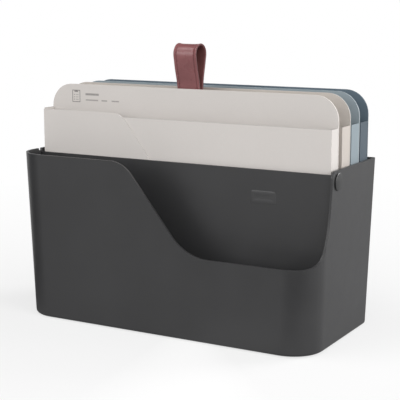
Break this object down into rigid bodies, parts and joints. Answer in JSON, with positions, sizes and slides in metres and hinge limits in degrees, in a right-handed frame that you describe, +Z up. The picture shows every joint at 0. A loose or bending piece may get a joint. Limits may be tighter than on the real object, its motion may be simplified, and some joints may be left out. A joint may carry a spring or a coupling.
{
  "type": "desk document caddy",
  "caption": "Open tub with a scooped front pocket that holds upright card folders with rounded tabs, the front one with a leather pull loop.",
  "frame": {"origin": "middle of the footprint at table level, between the feet", "axes": "+X along the tub towards the side the scoop runs round, -Y out of the scooped front, +Z up"},
  "size_m": [0.329, 0.1456, 0.2741],
  "materials": {
    "charcoal_plastic": "fine matte, moulded",
    "stud_plastic": "satin",
    "badge_plastic": "satin",
    "foot_rubber": "matte",
    "card_white": "smooth coated card",
    "card_beige": "smooth coated card",
    "card_light_blue": "smooth coated card",
    "card_dark_blue": "smooth coated card",
    "burgundy_leather": "smooth satin leather with burnished edges",
    "rivet_metal": "antique"
  },
  "bodies": {
    "tub": {"tub": "charcoal_plastic", "divider": "charcoal_plastic", "badge_plate": "badge_plastic", "stud_right": "stud_plastic", "stud_left": "stud_plastic", "foot_front_right": "foot_rubber", "foot_front_left": "foot_rubber", "foot_back_right": "foot_rubber", "foot_back_left": "foot_rubber"},
    "folder_1": {"folder_1_front_sheet": "card_white", "folder_1_pocket": "card_white", "folder_1_board": "card_white", "strap_loop": "burgundy_leather", "strap_post_lower": "rivet_metal", "strap_cap_lower": "rivet_metal", "strap_post_upper": "rivet_metal", "strap_cap_upper": "rivet_metal"},
    "folder_2": {"folder_2_pocket": "card_beige", "folder_2_board": "card_beige"},
    "folder_3": {"folder_3_pocket": "card_light_blue", "folder_3_board": "card_light_blue"},
    "folder_4": {"folder_4_pocket": "card_dark_blue", "folder_4_board": "card_dark_blue"}
  },
  "joints": [
    {"name": "folder_1_lift", "type": "slide", "parent": "tub", "child": "folder_1", "axis": [0, 0, 1], "range_m": [0, 0.17]},
    {"name": "folder_2_lift", "type": "slide", "parent": "tub", "child": "folder_2", "axis": [0, 0, 1], "range_m": [0, 0.17], "deforming": ["strap_loop"]},
    {"name": "folder_3_lift", "type": "slide", "parent": "tub", "child": "folder_3", "axis": [0, 0, 1], "range_m": [0, 0.17]},
    {"name": "folder_4_lift", "type": "slide", "parent": "tub", "child": "folder_4", "axis": [0, 0, 1], "range_m": [0, 0.17]}
  ]
}
